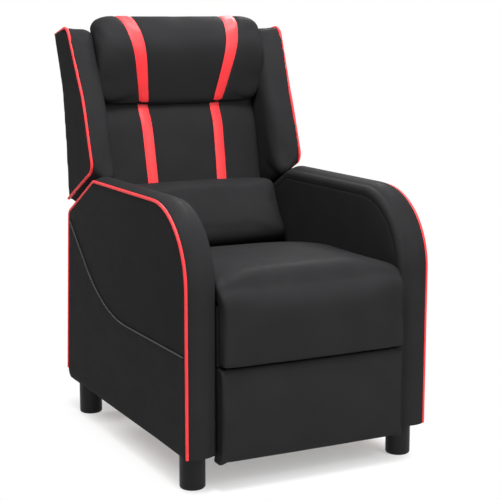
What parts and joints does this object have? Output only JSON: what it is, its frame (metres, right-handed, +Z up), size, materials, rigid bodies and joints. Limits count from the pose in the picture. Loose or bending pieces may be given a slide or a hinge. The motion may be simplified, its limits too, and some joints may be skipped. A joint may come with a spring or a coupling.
{
  "type": "gaming recliner",
  "caption": "Push-back armchair recliner in black faux leather with red piping and stripes, winged back, headrest, lumbar cushion and a fold-out footrest.",
  "frame": {"origin": "on the floor, at the centre of the footprint's bounding box", "axes": "+Z up, the chair faces -Y, +X is the sitter's left"},
  "size_m": [0.628, 0.8944, 1.0486],
  "materials": {
    "black_leather": "satin faux leather",
    "red_leather": "satin faux leather",
    "plywood": "bare plywood",
    "black_steel": "black paint",
    "zinc_steel": "zinc plated",
    "black_plastic": "moulded satin",
    "webbing": "woven elastic"
  },
  "bodies": {
    "base": {"arm_bolts": "zinc_steel", "arm_spacers": "plywood", "frame_pins": "zinc_steel", "front_left_leg": "black_plastic", "front_right_leg": "black_plastic", "left_arm_band": "black_leather", "left_arm_core": "plywood", "left_arm_inner_panel": "black_leather", "left_arm_outer_panel": "black_leather", "left_arm_piping": "red_leather", "leg_studs": "zinc_steel", "rear_left_leg": "black_plastic", "rear_rail": "black_leather", "rear_right_leg": "black_plastic", "right_arm_band": "black_leather", "right_arm_core": "plywood", "right_arm_inner_panel": "black_leather", "right_arm_outer_panel": "black_leather", "right_arm_piping": "red_leather", "seat_cushion": "black_leather", "seat_front_rail": "plywood", "seat_rear_rail": "plywood", "seat_side_rails": "plywood", "seat_springs": "zinc_steel", "side_plates": "black_steel", "side_pocket": "black_leather", "spring_clips": "zinc_steel"},
    "rear_links": {"rear_links": "black_steel", "torque_tube": "black_steel", "rear_link_pins": "zinc_steel"},
    "front_links": {"front_links": "black_steel", "front_link_pins": "zinc_steel"},
    "carrier_links": {"carrier_links": "black_steel"},
    "follower_links": {"follower_links": "black_steel"},
    "drive_rods": {"drive_rods": "black_steel"},
    "footrest": {"footrest_pad": "black_leather", "footrest_board": "plywood", "footrest_brackets": "black_steel", "footrest_pins": "zinc_steel"},
    "backrest": {"back_stiles": "plywood", "back_rails": "plywood", "wing_outriggers": "plywood", "back_webbing": "webbing", "left_wing": "black_leather", "right_wing": "black_leather", "left_wing_piping": "red_leather", "right_wing_piping": "red_leather", "back_cushion": "black_leather", "back_stripes": "red_leather", "headrest": "black_leather", "headrest_stripes": "red_leather", "lumbar_cushion": "black_leather", "massage_motors": "black_plastic", "back_outer_panel": "black_leather", "back_brackets": "black_steel"}
  },
  "joints": [
    {"name": "backrest_recline", "type": "hinge", "parent": "base", "child": "backrest", "pos_m": [0, 0.18844, 0.4], "axis": [-1, 0, 0], "range_deg": [0, 40]},
    {"name": "rear_link_swing", "type": "hinge", "parent": "base", "child": "rear_links", "pos_m": [0, -0.18656, 0.32], "axis": [-1, 0, 0], "range_deg": [0, 90]},
    {"name": "front_link_swing", "type": "hinge", "parent": "base", "child": "front_links", "pos_m": [0, -0.23976, 0.3444], "axis": [-1, 0, 0], "range_deg": [0, 90]},
    {"name": "carrier_knee", "type": "hinge", "parent": "rear_links", "child": "carrier_links", "pos_m": [0, -0.07956, 0.105], "axis": [-1, 0, 0], "range_deg": [-90, 0]},
    {"name": "follower_knee", "type": "hinge", "parent": "front_links", "child": "follower_links", "pos_m": [0, -0.15281, 0.16969], "axis": [-1, 0, 0], "range_deg": [-90, 0]},
    {"name": "footrest_tilt", "type": "hinge", "parent": "carrier_links", "child": "footrest", "pos_m": [0, -0.34556, 0.227], "axis": [-1, 0, 0], "range_deg": [0, 90]},
    {"name": "drive_rod_swing", "type": "hinge", "parent": "rear_links", "child": "drive_rods", "pos_m": [0, -0.15474, 0.28818], "axis": [-1, 0, 0], "range_deg": [-90, 0]}
  ],
  "couplings": [
    {"joint": "rear_link_swing", "follows": "backrest_recline", "ratio": 2.25},
    {"joint": "front_link_swing", "follows": "backrest_recline", "ratio": 2.25},
    {"joint": "carrier_knee", "follows": "backrest_recline", "ratio": -2.25},
    {"joint": "follower_knee", "follows": "backrest_recline", "ratio": -2.25},
    {"joint": "footrest_tilt", "follows": "backrest_recline", "ratio": 2.25},
    {"joint": "drive_rod_swing", "follows": "backrest_recline", "ratio": -2.25}
  ]
}
